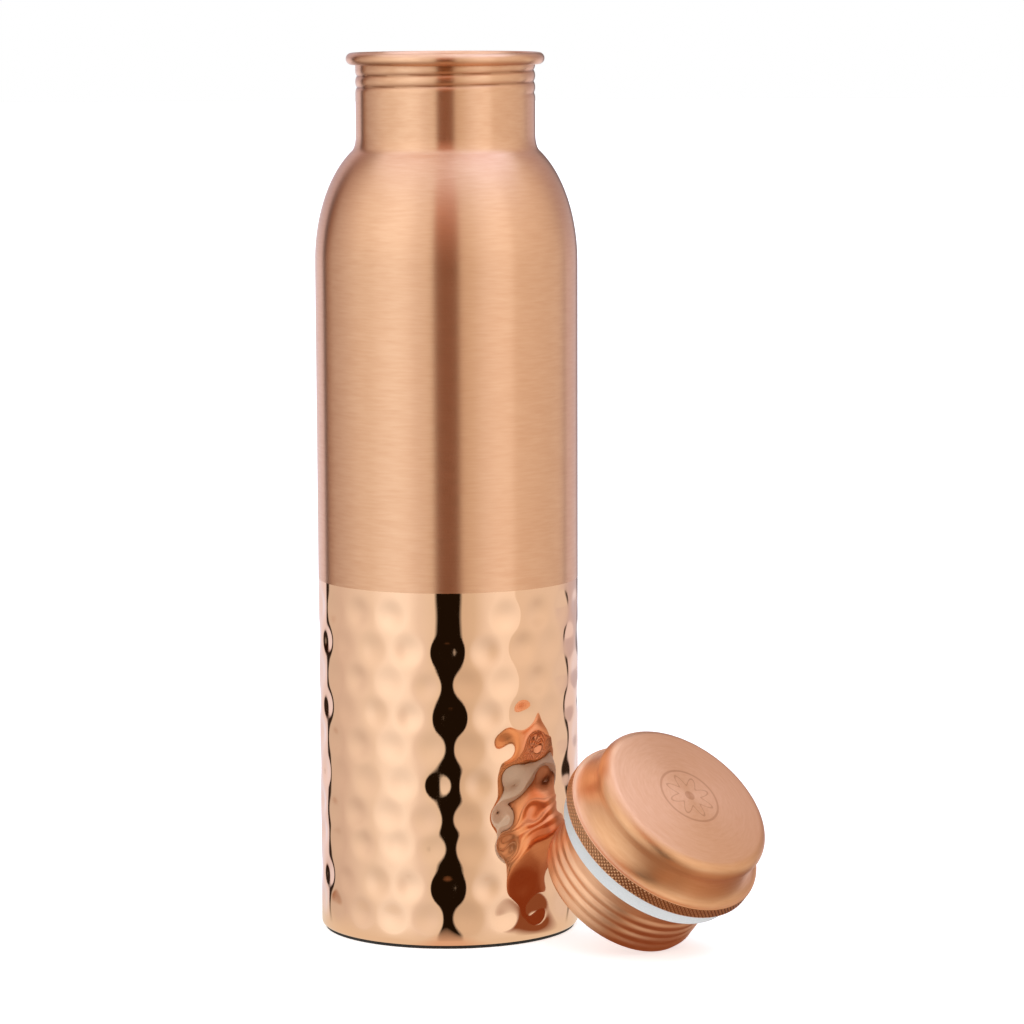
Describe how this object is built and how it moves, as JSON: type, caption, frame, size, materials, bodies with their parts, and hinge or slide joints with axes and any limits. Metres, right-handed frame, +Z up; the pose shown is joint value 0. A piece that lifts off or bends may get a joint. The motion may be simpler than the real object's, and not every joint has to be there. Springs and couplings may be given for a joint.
{
  "type": "metal water bottle",
  "caption": "Slim round copper bottle with a curved shoulder, curled rim, threaded neck and hammered lower part, its domed screw lid leaning against the foot; holds drinking water.",
  "frame": {"origin": "centre of the bottle's flat underside", "axes": "+Z up along the bottle's axis; the loose lid lies on the +X side, towards -Y"},
  "size_m": [0.1224, 0.103, 0.2441],
  "materials": {
    "copper_body": "copper, satin with fine lines round the upper part, bright and hammered below",
    "copper_base": "plain pressed copper",
    "foot_rubber": "matt black",
    "silicone": "pale satin silicone",
    "copper_lid": "satin brushed copper with a knurled edge",
    "copper_plug": "satin copper with rolled thread ridges"
  },
  "bodies": {
    "bottle": {"body_shell": "copper_body", "base_disc": "copper_base", "foot_pad": "foot_rubber"},
    "seal": {"gasket": "silicone"},
    "lid": {"cap_shell": "copper_lid", "lid_plug": "copper_plug"}
  },
  "joints": [
    {"name": "lid_lift", "type": "slide", "parent": "bottle", "child": "seal", "axis": [0, 0, 1], "range_m": [0, 0.26]},
    {"name": "lid_turn", "type": "hinge", "parent": "seal", "child": "lid", "pos_m": [0.0571, -0.0377, 0.03172], "axis": [0.475, -0.475, 0.7408], "continuous": true}
  ]
}
